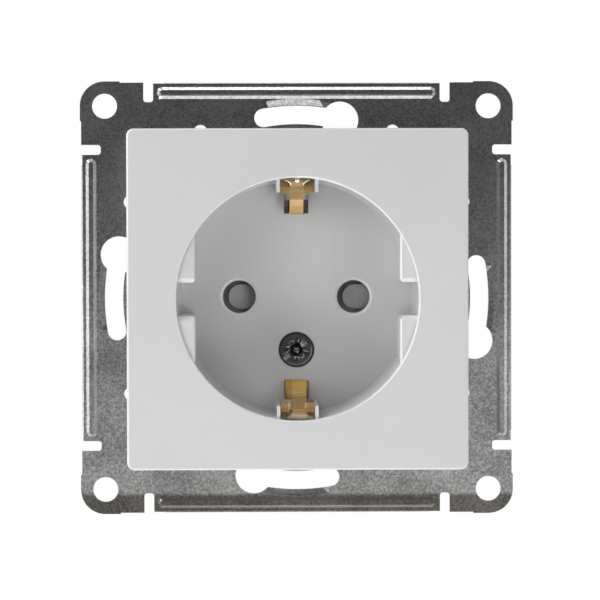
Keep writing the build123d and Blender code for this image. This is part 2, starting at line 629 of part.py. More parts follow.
def cover_insert_part():
    """Brass bush pressed into the lid, bored for the cover screw."""
    with BuildPart() as bush:
        with BuildSketch(at(LID_FRONT + INSERT_LENGTH)):
            with Locations((0, -COVER_SCREW_BELOW)):
                Circle(INSERT_D / 2)
                Circle(COVER_SCREW_D / 2 + RUNNING_FIT, mode=Mode.SUBTRACT)
        extrude(amount=INSERT_LENGTH)
    return bush


def lid_screws_part():
    """The two self-tapping screws that hold the lid."""
    seat = LID_FRONT + LID_SCREW_HEAD_H + SLIDE_GAP
    places = ((LID_SCREW_X, LID_SCREW_Z), (-LID_SCREW_X, -LID_SCREW_Z))
    with BuildPart() as screws:
        with BuildSketch(at(seat)):
            with Locations(*places):
                Circle(LID_SCREW_HEAD_D / 2)
        extrude(amount=LID_SCREW_HEAD_H)
        with BuildSketch(at(LID_BACK + LID_SCREW_LENGTH - SIDE_GAP)):
            with Locations(*places):
                Circle(LID_SCREW_D / 2)
        extrude(amount=LID_BACK + LID_SCREW_LENGTH - SIDE_GAP - seat)
        with BuildSketch(at(seat - LID_SCREW_HEAD_H)):
            with Locations(*places):
                Rectangle(*LID_CROSS)
                Rectangle(*LID_CROSS, rotation=90)
        extrude(amount=-LID_CROSS_DEPTH, mode=Mode.SUBTRACT)
    return screws


def shutter_part():
    """Safety slide: two ramped pads and one long window for the spring and a pin."""
    spring_to = SPRING_POST_X + SPRING_LENGTH
    window = ((SHUTTER_OPEN_FROM + SHUTTER_OPEN_TO) / 2, SHUTTER_OPEN_TO - SHUTTER_OPEN_FROM)
    back = SHUTTER_FRONT + SHUTTER_THICK
    step = SHUTTER_FRONT + RAMP_DROP + RAMP_STEP
    with BuildPart() as slide:
        with BuildSketch(Plane.XY.offset(-RAMP_W / 2)):
            for x in (PIN_X, -PIN_X):
                ramp_from = x - PIN_HOLE_R + RAMP_IN
                ramp_to = x + PIN_HOLE_R + SHUTTER_LAP
                with BuildLine():
                    Polyline((ramp_from, SHUTTER_FRONT), (ramp_to, SHUTTER_FRONT + RAMP_DROP),
                             (ramp_to, step), (ramp_from, step), close=True)
                make_face()
        extrude(amount=RAMP_W)
        with BuildSketch(at(back)):
            for x in (PIN_X, -PIN_X):
                ramp_from = x - PIN_HOLE_R + RAMP_IN
                with Locations((ramp_from + SHUTTER_END / 2, 0)):
                    RectangleRounded(SHUTTER_END, RAMP_W, RAMP_W / 2 - RUNNING_FIT)
        extrude(amount=SHUTTER_THICK + SHEET, mode=Mode.INTERSECT)
        with BuildSketch(at(back)):
            RectangleRounded(2 * SHUTTER_END, SHUTTER_H, SHUTTER_CORNER_R)
            with Locations(((SHUTTER_OPEN_FROM + spring_to) / 2, 0)):
                Rectangle(spring_to - SHUTTER_OPEN_FROM, SPRING_D + 2 * SIDE_GAP, mode=Mode.SUBTRACT)
            with Locations((window[0], 0)):
                Rectangle(window[1], SHUTTER_H - 2 * BRIDGE, mode=Mode.SUBTRACT)
        extrude(amount=back - step)
    return slide


def shutter_spring_part():
    """Compression spring between the slide and the post in the lid."""
    coil_r = (SPRING_D - SPRING_WIRE) / 2
    span = SPRING_LENGTH - SPRING_WIRE - 2 * SPRING_END_GAP
    start = (SPRING_POST_X + SPRING_WIRE / 2 + SPRING_END_GAP, SPRING_Y, 0)
    with BuildPart() as spring:
        with BuildLine():
            coil = Helix(pitch=span / SPRING_TURNS, height=span, radius=coil_r,
                         center=start, direction=(1, 0, 0))
        with BuildSketch(Plane(origin=coil @ 0, z_dir=coil % 0)):
            RegularPolygon(SPRING_WIRE / 2, 6)
        sweep(is_frenet=True)
    return spring


def terminal_tail_part(x, side, start):
    """The C-shaped end of a contact, open to the back, bored for the terminal screw."""
    base = CHAMBER_BACK - BRONZE / 2
    with BuildPart() as tail:
        with BuildSketch(Plane.YZ.offset(x - TERMINAL_W / 2)):
            with BuildLine():
                FilletPolyline((base, side * start), (base, side * TERMINAL_FROM),
                               (TERMINAL_FRONT, side * TERMINAL_FROM),
                               (TERMINAL_FRONT, side * TERMINAL_TO),
                               (TERMINAL_BACK, side * TERMINAL_TO), radius=BEND_R)
            trace(line_width=BRONZE)
        extrude(amount=TERMINAL_W)
        with BuildSketch(Plane.XY.offset(side * TERMINAL_TO - BRONZE)):
            with Locations((x, TERMINAL_SCREW_Y)):
                Circle(TERMINAL_SCREW_D / 2 + RUNNING_FIT)
        extrude(amount=2 * BRONZE, mode=Mode.SUBTRACT)
    return tail


def pin_contact_part():
    """Sprung socket for one plug pin with its screw terminal, on the left."""
    base = CHAMBER_BACK - BRONZE / 2
    pinch = PINCH_GAP / 2 + BRONZE / 2
    tail = terminal_tail_part(-TERMINAL_X, 1, CONTACT_SPREAD - BEND_R)
    with BuildPart() as contact:
        with BuildSketch(Plane.YZ.offset(-PIN_X - CONTACT_W / 2)):
            with BuildLine():
                FilletPolyline((CONTACT_FRONT, -CONTACT_SPREAD), (PINCH_AT, -pinch),
                               (base - CONTACT_FOOT, -CONTACT_SPREAD), (base, -CONTACT_SPREAD),
                               (base, CONTACT_SPREAD), (base - CONTACT_FOOT, CONTACT_SPREAD),
                               (PINCH_AT, pinch), (CONTACT_FRONT, CONTACT_SPREAD), radius=BEND_R)
            trace(line_width=BRONZE)
        extrude(amount=CONTACT_W)
        add(tail.part)
    return contact


def tongue_part(side):
    """One sprung tongue, folded back from its limb; the lower one ends in a seat plate."""
    bend = (RECESS_FLOOR - TONGUE_BEND[0], TONGUE_BEND[1])
    knee = (RECESS_FLOOR - TONGUE_KNEE[0], TONGUE_KNEE[1])
    fold = [(EAR_FRONT + EAR_ROOT, EARTH_LIMB_AT), (TONGUE_FRONT, EARTH_LIMB_AT),
            (TONGUE_FRONT + TONGUE_FOLD / 2, EARTH_LIMB_AT - TONGUE_FOLD), bend]
    root_cut = EARTH_W - TONGUE_W
    if side > 0:
        across = 0
        tip = [(RECESS_FLOOR + BRASS, TONGUE_TIP[0]), (LID_BACK - TONGUE_TIP_SHORT, TONGUE_TIP[1])]
        radii = [TONGUE_FOLD_R, TONGUE_FOLD_R, TONGUE_BEND_R, TONGUE_KNEE_R, TONGUE_KNEE_R]
    else:
        across = LOWER_TONGUE_X
        tip = [(RECESS_FLOOR + TONGUE_SEAT, knee[1] + BRASS)]
        radii = [TONGUE_FOLD_R, TONGUE_FOLD_R, TONGUE_BEND_R, TONGUE_KNEE_R]
    with BuildPart() as tongue:
        with BuildSketch(Plane.YZ.offset(-EARTH_W / 2)):
            with BuildLine():
                FilletPolyline(*[(y, side * z) for y, z in fold], radius=[TONGUE_FOLD_R, TONGUE_FOLD_R])
            trace(line_width=BRASS)
        extrude(amount=EARTH_W)
        with BuildSketch(at(EAR_FRONT)):
            with Locations((0, side * EARTH_LIMB_AT)):
                Rectangle(EARTH_W, 4 * BRASS)
            for x in (-1, 1):
                with Locations((x * (TONGUE_W + root_cut) / 2 + across,
                                side * (EARTH_LIMB_AT - TONGUE_ROOT_IN - root_cut / 2))):
                    RectangleRounded(root_cut, root_cut, TONGUE_ROOT_R, mode=Mode.SUBTRACT)
        extrude(amount=2 * BRASS + EAR_FRONT - TONGUE_FRONT, mode=Mode.INTERSECT)
        with BuildSketch(Plane.YZ.offset(across - TONGUE_W / 2)):
            with BuildLine():
                FilletPolyline(*[(y, side * z) for y, z in fold + [knee] + tip], radius=radii)
            trace(line_width=BRASS)
        extrude(amount=TONGUE_W)
        if side < 0:
            with BuildSketch(at(RECESS_FLOOR + EARTH_SHELF_DEPTH - RUNNING_FIT)):
                plate_to = EARTH_SLOT_FROM + EARTH_SLOT_LENGTH + EARTH_SHELF_LENGTH - SLIDE_GAP
                plate_from = EARTH_SLOT_FROM + SLIDE_GAP
                with Locations((0, side * (plate_from + plate_to) / 2)):
                    Rectangle(SEAT_PLATE_W, plate_to - plate_from)
            extrude(amount=EARTH_SHELF_DEPTH - RUNNING_FIT)
    return tongue


def earth_contact_part():
    """Brass hairpin: strap, two limbs with tongue and ears, side arm and terminal."""
    base = CHAMBER_BACK - BRASS / 2
    root = (EAR_FRONT + EAR_ROOT, EARTH_LIMB_AT)
    ear_w = (EARTH_W - TONGUE_W) / 2 - EAR_GAP
    step_x = TONGUE_W / 2 + EAR_GAP + EAR_STEP_W / 2
    tail = terminal_tail_part(-TERMINAL_X, -1, TERMINAL_FROM - EARTH_ARM)
    with BuildPart() as earth:
        with BuildSketch(Plane.YZ.offset(-EARTH_W / 2)):
            with BuildLine():
                limb_front = EAR_FRONT + EAR_ROOT - BRASS
                FilletPolyline((limb_front, -EARTH_LIMB_AT), (base, -EARTH_LIMB_AT),
                               (base, EARTH_LIMB_AT), (limb_front, EARTH_LIMB_AT), radius=BEND_R)
            trace(line_width=BRASS)
        extrude(amount=EARTH_W)
        for side, end in ((1, EAR_END), (-1, EAR_END - EAR_STEP)):
            add(tongue_part(side).part)
            for x in (-EARTH_W / 2, EARTH_W / 2 - ear_w):
                with BuildSketch(Plane.YZ.offset(x)):
                    with BuildLine():
                        FilletPolyline((root[0], side * root[1]), (EAR_FRONT, side * root[1]),
                                       (EAR_FRONT, side * end), radius=EAR_BEND_R)
                    trace(line_width=BRASS)
                extrude(amount=ear_w)
        with BuildSketch(at(EAR_FRONT + BRASS / 2)):
            with Locations((step_x, EAR_END), (-step_x, EAR_END)):
                Rectangle(EAR_STEP_W, 2 * EAR_STEP)
        extrude(amount=BRASS)
        with BuildSketch(at(CHAMBER_BACK)):
            with Locations((-(TERMINAL_X + TERMINAL_W / 2) / 2, EARTH_ARM / 2 - TERMINAL_FROM)):
                Rectangle(TERMINAL_X + TERMINAL_W / 2, EARTH_ARM)
        extrude(amount=BRONZE)
        add(tail.part)
    return earth


def clamp_part(x, side):
    """Pressure plate of a terminal with a ridge across the wires."""
    with BuildPart() as clamp:
        with BuildSketch(Plane.YZ.offset(x - CLAMP_W / 2)):
            with Locations((TERMINAL_SCREW_Y, side * (CLAMP_AT + CLAMP / 2))):
                Rectangle(CLAMP_LENGTH, CLAMP)
            with Locations((TERMINAL_SCREW_Y, side * CLAMP_AT)):
                Circle(CLAMP / 2)
        extrude(amount=CLAMP_W)
    return clamp


def terminal_screw_part(x, side):
    """Slotted cheese head screw that presses the clamp."""
    clamp_top = CLAMP_AT + CLAMP
    head_from = TERMINAL_TO + BRONZE / 2 + SHEET
    with BuildPart() as screw:
        with BuildSketch(Plane.XY.offset(side * clamp_top)):
            with Locations((x, TERMINAL_SCREW_Y)):
                Circle(TERMINAL_SCREW_D / 2)
        extrude(amount=side * (head_from - clamp_top))
        with BuildSketch(Plane.XY.offset(side * head_from)):
            with Locations((x, TERMINAL_SCREW_Y)):
                Circle(TERMINAL_HEAD_D / 2)
        extrude(amount=side * TERMINAL_HEAD_H)
        with BuildSketch(Plane.XY.offset(side * (head_from + TERMINAL_HEAD_H))):
            with Locations((x, TERMINAL_SCREW_Y)):
                Rectangle(2 * TERMINAL_HEAD_D, TERMINAL_SLOT_W, rotation=TERMINAL_SLOT_TURN)
        extrude(amount=-side * TERMINAL_HEAD_H / 2, mode=Mode.SUBTRACT)
    return screw


def claw_part():
    """Stamped lever on the right: two cheeks with stub pins, a fork and three teeth."""
    tab_front = CLAW_BACK - CLAW_STEEL
    width = 2 * (CLAW_CHEEK_AT + CLAW_STEEL)
    with BuildPart() as claw:
        with BuildSketch(Plane.XY.offset(CLAW_CHEEK_AT)):
            with Locations((CLAW_PIVOT_X, CLAW_PIVOT_Y)):
                Circle(CLAW_EYE_R)
            with BuildLine():
                Polyline((CLAW_PIVOT_X - CLAW_EYE_R, CLAW_PIVOT_Y), (CLAW_PIVOT_X + CLAW_EYE_R, CLAW_PIVOT_Y),
                         (CLAW_OUTER, tab_front), (CLAW_OUTER, CLAW_BACK), (CLAW_INNER, CLAW_BACK),
                         (CLAW_INNER, CLAW_WAIST), close=True)
            make_face()
        extrude(amount=CLAW_STEEL)
        mirror(about=Plane.XY)
        with BuildSketch(at(CLAW_BACK)):
            with Locations(((CLAW_INNER + CLAW_TIP) / 2, 0)):
                Rectangle(CLAW_TIP - CLAW_INNER, width)
            fork_end = CLAW_SCREW_X + CLAW_FORK_W / 2
            with Locations(((CLAW_INNER + fork_end) / 2 - SHEET, 0)):
                Rectangle(fork_end - CLAW_INNER + 2 * SHEET, CLAW_FORK_W, mode=Mode.SUBTRACT)
            for z in (-width / 6, width / 6):
                with BuildLine():
                    Polyline((CLAW_TIP, z - TOOTH / 2), (CLAW_TIP, z + TOOTH / 2),
                             (CLAW_TIP - TOOTH, z), close=True)
                make_face(mode=Mode.SUBTRACT)
        extrude(amount=CLAW_STEEL)
        for level in (CLAW_CHEEK_AT + CLAW_STEEL, -CLAW_CHEEK_AT - 2 * CLAW_STEEL - SIDE_GAP):
            with BuildSketch(Plane.XY.offset(level)):
                with Locations((CLAW_PIVOT_X, CLAW_PIVOT_Y)):
                    Circle(CLAW_TRUNNION_D / 2)
            extrude(amount=SHEET + SIDE_GAP)
    return claw


def claw_screw_part():
    """Slotted screw on the right, square to the frame."""
    with BuildPart() as screw:
        with BuildSketch(at(CLAW_SCREW_LENGTH - SHEET)):
            with Locations((CLAW_SCREW_X, 0)):
                Circle(CLAW_SCREW_D / 2)
        extrude(amount=CLAW_SCREW_LENGTH)
        with BuildSketch(at(-SHEET)):
            with Locations((CLAW_SCREW_X, 0)):
                Circle(CLAW_HEAD_D / 2)
        extrude(amount=CLAW_HEAD_H)
        with BuildSketch(at(-SHEET - CLAW_HEAD_H)):
            with Locations((CLAW_SCREW_X, 0)):
                Rectangle(2 * CLAW_HEAD_D, CLAW_SLOT_W, rotation=CLAW_SLOT_TURN)
        extrude(amount=-CLAW_HEAD_H / 2, mode=Mode.SUBTRACT)
    return screw


def claw_nut_part():
    """Square nut behind the fork of the right claw."""
    with BuildPart() as nut:
        with BuildSketch(at(CLAW_BACK + SIDE_GAP + CLAW_NUT_H)):
            with Locations((CLAW_SCREW_X, 0)):
                Rectangle(CLAW_NUT, CLAW_NUT)
                Circle(CLAW_SCREW_D / 2 + RUNNING_FIT, mode=Mode.SUBTRACT)
        extrude(amount=CLAW_NUT_H)
    return nut


def mirrored(built):
    """The same piece on the other side."""
    with BuildPart() as copy:
        mirror(built.part, about=Plane.YZ)
    return copy


line_contact = pin_contact_part()
right_claw = claw_part()
right_claw_screw = claw_screw_part()
right_claw_nut = claw_nut_part()

pieces = {
    "cover_plate": cover_plate_part(),
    "cover_screw": cover_screw_part(),
    "cover_insert": cover_insert_part(),
    "support_frame": support_frame_part(),
    "base_housing": base_housing_part(),
    "contact_cover": contact_cover_part(),
    "contact_cover_screws": lid_screws_part(),
    "shutter": shutter_part(),
    "shutter_spring": shutter_spring_part(),
    "line_contact": line_contact,
    "neutral_contact": mirrored(line_contact),
    "earth_contact": earth_contact_part(),
    "line_clamp": clamp_part(-TERMINAL_X, 1),
    "neutral_clamp": clamp_part(TERMINAL_X, 1),
    "earth_clamp": clamp_part(-TERMINAL_X, -1),
    "line_screw": terminal_screw_part(-TERMINAL_X, 1),
    "neutral_screw": terminal_screw_part(TERMINAL_X, 1),
    "earth_screw": terminal_screw_part(-TERMINAL_X, -1),
    "right_claw": right_claw,
    "left_claw": mirrored(right_claw),
    "right_claw_screw": right_claw_screw,
    "left_claw_screw": mirrored(right_claw_screw),
    "right_claw_nut": right_claw_nut,
    "left_claw_nut": mirrored(right_claw_nut),
}

os.makedirs("parts", exist_ok=True)
for label, piece in pieces.items():
    piece.part.label = label
    export_step(piece.part, f"parts/{label}.step")
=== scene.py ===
import math

import bpy
from mathutils import Euler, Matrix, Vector


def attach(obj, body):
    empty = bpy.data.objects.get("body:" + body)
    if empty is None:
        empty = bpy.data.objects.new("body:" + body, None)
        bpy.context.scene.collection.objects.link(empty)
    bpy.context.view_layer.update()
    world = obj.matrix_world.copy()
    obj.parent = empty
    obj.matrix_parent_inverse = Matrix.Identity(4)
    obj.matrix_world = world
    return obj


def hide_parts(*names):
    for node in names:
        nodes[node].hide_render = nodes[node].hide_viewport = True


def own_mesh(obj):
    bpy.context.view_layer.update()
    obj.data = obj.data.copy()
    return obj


# Lengths below are in mm unless a comment says otherwise. The face looks along -Y, Z is up.
MM = 0.001

# Camera, set from the corner holes, the pin holes, the recess screw and the plate's corners.
# Its turn is in degrees.
CAMERA_LENS = 185.0
CAMERA_SENSOR = 36.0
CAMERA_PLACE = (-6.72, -507.11, 12.05)
CAMERA_TURN = (88.594, 0.103, -0.822)
CAMERA_NEAR = 10

# Colours, linear.
PLATE_WHITE = (0.657, 0.661, 0.669)
# The next colour is a painted highlight for the plate's rounded edges.
PLATE_EDGE_HIGHLIGHT = (0.86, 0.87, 0.88)
HOUSING_GREY = (0.40, 0.405, 0.41)
LID_GREY = (0.60, 0.60, 0.61)
SHUTTER_GREY = (0.34, 0.34, 0.345)
BRASS = (0.80, 0.57, 0.26)
# The next colour is a pale brass painted as the highlight on the earth contact's rims, dimple and
# creases.
BRASS_HIGHLIGHT = (0.95, 0.87, 0.68)
BRONZE = (0.66, 0.40, 0.20)
SCREW_DARK = (0.065, 0.065, 0.065)
SCREW_STEEL = (0.42, 0.42, 0.41)
# The next colour is a pale steel painted as glints on the screw head and as a highlight on the
# burnished frame.
STEEL_HIGHLIGHT = (0.80, 0.80, 0.79)
# The next colour is near-black, painted as the shade in the screw's hollow middle.
SCREW_HOLLOW_SHADE = (0.02, 0.02, 0.02)
STUDIO_GREY = (0.80, 0.80, 0.80)
CARD_GREY = (0.02, 0.02, 0.02)

# Zinc-plated steel: colour and roughness by the value of its noise, whose scales are per metre.
# A face counts as flat above FLAT_FROM and as a slope below SLOPE_FROM, by how straight it
# looks to the front or back. The lower rim's front is darkened with painted shade.
ZINC_DARK = (0.15, 0.15, 0.148)
ZINC_MID = (0.25, 0.25, 0.246)
ZINC_LIGHT = (0.38, 0.38, 0.372)
ZINC_HIGHLIGHT = (0.66, 0.66, 0.65)
ZINC_FLAT = ((0.42, ZINC_DARK), (0.50, ZINC_MID), (0.58, ZINC_LIGHT))
# The sloped faces' lighter colours are a painted highlight on the beads, lips and cut edges.
ZINC_SLOPE_HIGHLIGHT = ((0.40, ZINC_LIGHT), (0.60, ZINC_HIGHLIGHT))
ZINC_FLAT_ROUGH = ((0.35, 0.36), (0.65, 0.26))
ZINC_SLOPE_ROUGH = ((0.35, 0.26), (0.65, 0.20))
ZINC_GRAIN = 5400.0
ZINC_SPOTS = 2300.0
ZINC_PATCHES = 130.0
ZINC_GRAIN_SHARE = 0.5
ZINC_FINE_SHARE = 0.76
ZINC_DEPTH = 0.04
ZINC_LOW_SHADE = (0.40, 0.38, 0.35)
SHADE_BELOW = (-32.0, -32.6)
SHADE_FRONT = (-0.3, -0.6)
FLAT_FROM = 0.98
SLOPE_FROM = 0.80

# Brass of the earth contact by height: paler where a plug rubs and darker between, partly wear
# and tarnish and partly painted light, with the tongues' ends painted paler as a highlight. The
# contact's ears beside the lower tongue are darker still, and the tongues' ends are rougher.
BRASS_ZONES = (
    (-20.0, (0.98, 0.80, 0.54)), (-18.9, (0.98, 0.80, 0.54)), (-18.4, (0.80, 0.50, 0.20)),
    (-16.4, (0.80, 0.50, 0.20)), (-16.1, (1.00, 0.68, 0.24)), (-14.2, (1.00, 0.62, 0.20)),
    (0.0, (0.80, 0.57, 0.26)), (14.4, (0.74, 0.48, 0.20)), (15.9, (0.98, 0.72, 0.36)),
    (16.3, (0.56, 0.35, 0.12)), (18.0, (0.56, 0.36, 0.13)), (18.3, (0.38, 0.26, 0.11)),
    (20.0, (0.56, 0.42, 0.22)),
)
BRASS_SHEEN = 0.4
BRASS_GRAIN = 2600.0
BRASS_STRETCH = (0.18, 1.0, 1.0)
BRASS_CLOUDS = 700.0
BRASS_GRAIN_SHARE = 0.6
BRASS_SHADE = ((0.35, 0.82), (0.65, 1.0))
# The next colour darkens the ears beside the lower tongue.
BRASS_DARKER = (0.68, 0.66, 0.60)
LOWER_EAR_X = (1.45, 1.60)
LOWER_EAR_Z = (-15.0, -16.0)
TONGUE_END = (16.3, 16.1)
BRASS_ROUGH = (1.15, 0.85)
BRASS_RUBBED = (1.7, 1.4)

# Plastic and plain metal: their tone and roughness where the noise is low and where it is
# high. A plastic's rounded edges get a paler colour as a painted highlight, which shows by how
# straight a face looks to the front or back: it comes in, is full, is full still, and is gone.
NOISE_ENDS = (0.3, 0.7)
PLASTIC_CLOUDS = 60.0
PLASTIC_TONES = (0.985, 1.015)
PLASTIC_GRAIN = 900.0
PLASTIC_ROUGH = (0.92, 1.08)
GRAIN_DEPTH = 0.01
EDGE_HIGHLIGHT_SHOWS = (0.25, 0.45, 0.93, 0.985)
METAL_CLOUDS = 300.0
METAL_FINER = 4
METAL_SPREAD = 0.12
METAL_ROUGH = (1.2, 0.8)
METAL_DEPTH = 0.008
BURNISH_CLOUDS = 1400.0
BURNISH_SPREAD = 0.25

# Lamps: name, degrees off the front axis, degrees round it from the right, watts.
# The front ones are set from the plate, the recess and their bright edges.
LAMP_AWAY = 500
LAMP_SIDE = 200
LAMPS = (
    ("front_right", 30, 0, 0.36),
    ("front_upper_left", 30, 135, 0.37),
    ("left", 52, 180, 0.64),
    ("low_left", 52, 225, 0.655),
    ("low", 52, 270, 0.075),
    ("low_right", 52, 315, 0.805),
    ("side_upper_left", 78, 135, 1.01),
    ("side_left", 78, 180, 0.23),
    ("side_upper_right", 78, 45, 0.085),
    ("over", 87, 90, 0.21),
    ("back_upper_left", 135, 150, 1.1),
    ("back_upper_right", 135, 35, 0.9),
    ("back_low", 125, 270, 0.5),
)
AMBIENT = 0.06

# Floor under the object, and a dark card before it that only the gloss sees.
FLOOR_DOWN = 620
FLOOR_GLOW = 0.90
FLOOR_SIDE = 4000
CARD_AWAY = 160
CARD_SIDE = 2400
CARD_FROM = -12
STUDIO_ROUGH = 0.9

# Earth contact: bright rolled rims at the upper tongue's root with a dimple between them, the
# curls beside the lower tongue's root, and a crease at each tongue's bend as x, z, radius.
FLARE_MIDDLE = (2.10, 18.33)
FLARE_SIZE = (1.08, 0.87)
FLARE_R = 0.13
FLARE_THIN = 0.35
FLARE_SWELL = 0.91
FLARE_STEPS = 12
DIMPLE_AT = (0.0, 19.36)
DIMPLE_SIZE = (0.48, 0.26, 0.62)
DIMPLE_SUNK = 0.02
CURL_AT = (1.95, -18.30)
CURL_HALF = 0.42
CURL_R = 0.32
CURL_PROUD = 0.2
CREASES = ((0.45, -16.10, 0.14), (0.0, 16.05, 0.08))
CREASE_HALF = 0.95
CREASE_SUNK = 0.3

# Recess screw: the sloped ends of the cross, burrs on it, the ridges in the slot, a ring near
# the edge and the hollow middle. Points are x and z from the middle of the head, and a third
# number is how far back from its top. Turns are in degrees.
SCREW_MIDDLE = (0.0, -8.8)
SCREW_TOP = 5.6
CROSS_RIBS = (
    ((0.42, 2.08, -0.12), (0.08, 1.10, 0.02), (0.46, 1.06, 0.02)),
    ((-2.16, 0.53, -0.04), (-1.02, 0.66, -0.09), (-1.02, 0.04, 0.02)),
    ((2.23, -0.38, -0.03), (1.16, 0.12, -0.09), (1.12, -0.44, 0.02)),
    ((-0.25, -1.80, 0.02), (-0.46, -1.08, -0.06), (0.10, -1.08, -0.06)),
    ((0.50, -1.66, 0.02), (0.08, -1.15, -0.06), (0.60, -1.22, -0.06)),
)
RIB_DEPTH = 0.5
BURRS = (
    ((-1.33, 1.02), (-0.72, 1.52), (-0.57, 1.55), (-0.34, 1.25)),
    ((0.53, 1.02), (0.80, 1.17), (1.14, 1.67)),
    ((1.14, -0.64), (1.29, -1.02), (1.14, -1.25), (0.60, -1.48)),
    ((-1.06, 0.04), (-1.74, -0.57), (-2.40, -0.72)),
    ((-0.38, 0.34), (0.00, 0.12), (0.38, 0.34)),
)
BURR_R = 0.06
FINE_SIDES = 6
SLOT_TURN = 37
SLOT_RIDGES = (-2.50, -2.30, -2.10, -1.90, -1.70, -1.50, 1.05, 1.25, 1.45, 1.70, 2.00)
SLOT_RIDGE_HALF = 0.42
SLOT_RIDGE_R = 0.08
SLOT_RIDGE_BACK = 0.03
RING_R = 2.50
RING_WIRE = 0.045
RING_TURN = (-150, 15)
RING_STEPS = 40
EYE_R = 1.05
EYE_INNER_R = 0.55
EYE_RINGS = ((EYE_R, 0.0), (EYE_R, -0.02), (EYE_INNER_R, 0.05), (EYE_INNER_R * 0.6, 0.0))
EYE_SIDES = 32
EYE_SPOT = (0.18, -0.40)
EYE_SPOT_SIZE = (0.17, 0.12, 0.17)
EYE_MIDDLE_BACK = 0.04
EYE_MIDDLE_RISE = 0.08

# Burnished places of the frame, in a paler metal that is partly the burnish and partly a painted
# highlight: the pressed band over the upper slot and the roll under the upper bead, each sloped
# so that it mirrors the light below.
FRAME_FACE = -0.95
BAND_R = (31.62, 32.60)
BAND_X = (-5.7, 4.7)
BAND_FRONT = (-0.86, -1.03)
BAND_ROOT = 0.25
BAND_STEPS = 24
BAND_FADE = 10
BAND_SINK = 0.12
ROLL_Z = (32.62, 33.12)
ROLL_FRONT = (-1.20, -1.31)
ROLL_X = 22.6
ROLL_TAPER = 0.5
ROLL_ROOT = 0.05

# Claw screws' thread: its middle, where it runs from and to, and its section. The flanks'
# half width is a share of the pitch.
THREAD_X = 23.35
THREAD_FROM = 3.4
THREAD_TO = 19.6
THREAD_R = 1.5
THREAD_PITCH = 0.5
THREAD_HEIGHT = 0.11
THREAD_ROOT = -0.02
THREAD_HALF = 0.42
TURN_STEPS = 20

# Where the rays start that find the contact's surface, the share of its radius that a round
# end narrows to, and the length of the cross product below which a bar runs along Y.
RAY_FROM = -100
END_SHARE = 0.02
CROSS_SHORT = 0.1

# A Mix node for colours has several sockets of each name, so they go by number.
MIX_SHARE, MIX_FIRST, MIX_SECOND = 0, 6, 7
MIX_RESULT = 2


# Materials

def new_material(name):
    material = bpy.data.materials.new(name)
    material.use_nodes = True
    tree = material.node_tree
    return material, tree, tree.nodes["Principled BSDF"]


def node(tree, kind, **values):
    made = tree.nodes.new(kind)
    for key, value in values.items():
        setattr(made, key, value)
    return made


def maths(tree, operation, *sources):
    """A Math node on other nodes' outputs and plain numbers."""
    made = node(tree, "ShaderNodeMath", operation=operation)
    for socket, source in zip(made.inputs, sources):
        if isinstance(source, float):
            socket.default_value = source
        else:
            tree.links.new(source, socket)
    return made.outputs[0]


def mapped(tree, source, start, end):
    """0 where source is start, 1 where it is end"""
    made = node(tree, "ShaderNodeMapRange")
    made.inputs["From Min"].default_value = start
    made.inputs["From Max"].default_value = end
    tree.links.new(source, made.inputs["Value"])
    return made.outputs[0]


def between(tree, place, ends):
    """0 at the first end in mm, 1 at the second"""
    return mapped(tree, place, ends[0] * MM, ends[1] * MM)


def coordinates(tree, kind="Object"):
    return node(tree, "ShaderNodeTexCoord").outputs[kind]


def split(tree, vector):
    made = node(tree, "ShaderNodeSeparateXYZ")
    tree.links.new(vector, made.inputs[0])
    return made.outputs


def noise(tree, scale, detail=3.0, roughness=0.55, stretch=(1.0, 1.0, 1.0)):
    made = node(tree, "ShaderNodeTexNoise")
    made.inputs["Scale"].default_value = scale
    made.inputs["Detail"].default_value = detail
    made.inputs["Roughness"].default_value = roughness
    scaled = node(tree, "ShaderNodeVectorMath", operation="MULTIPLY")
    scaled.inputs[1].default_value = stretch
    tree.links.new(coordinates(tree), scaled.inputs[0])
    tree.links.new(scaled.outputs[0], made.inputs["Vector"])
    return made.outputs["Fac"]


def ramp(tree, source, stops):
    """Colours, or greys where a stop has one number, by the value of source."""
    made = node(tree, "ShaderNodeValToRGB")
    elements = made.color_ramp.elements
    while len(elements) < len(stops):
        elements.new(0.5)
    for element, (place, tone) in zip(elements, stops):
        element.position = place
        element.color = (*(tone if isinstance(tone, tuple) else (tone, tone, tone)), 1.0)
    tree.links.new(source, made.inputs["Fac"])
    return made.outputs["Color"]


def uneven(tree, tone, ends):
    """The first end where the noise is low, the second where it is high."""
    return ramp(tree, tone, tuple(zip(NOISE_ENDS, ends)))


def tones(colour, shares):
    """The colour times each share."""
    return [tuple(min(1.0, c * share) for c in colour) for share in shares]


def blend(tree, first, second, share):
    """first * share + second * (1 - share)"""
    return maths(tree, "MULTIPLY_ADD", first, share, maths(tree, "MULTIPLY", second, 1.0 - share))


def mixed(tree, share, first, second, blend_type="MIX"):
    """first where share is 0. Where it is 1, second, or first times second with MULTIPLY."""
    made = node(tree, "ShaderNodeMix", data_type="RGBA", blend_type=blend_type)
    for number, source in ((MIX_SHARE, share), (MIX_FIRST, first), (MIX_SECOND, second)):
        if isinstance(source, float):
            made.inputs[number].default_value = source
        elif isinstance(source, tuple):
            made.inputs[number].default_value = (*source, 1.0)
        else:
            tree.links.new(source, made.inputs[number])
    return made.outputs[MIX_RESULT]


def bump(tree, shader, height, depth):
    made = node(tree, "ShaderNodeBump")
    made.inputs["Strength"].default_value = 1.0
    made.inputs["Distance"].default_value = depth * MM
    tree.links.new(height, made.inputs["Height"])
    tree.links.new(made.outputs["Normal"], shader.inputs["Normal"])


def straightness(tree):
    """1 on faces that look straight to the front or back, 0 on faces that look sideways"""
    return maths(tree, "ABSOLUTE", split(tree, coordinates(tree, "Normal"))["Y"])


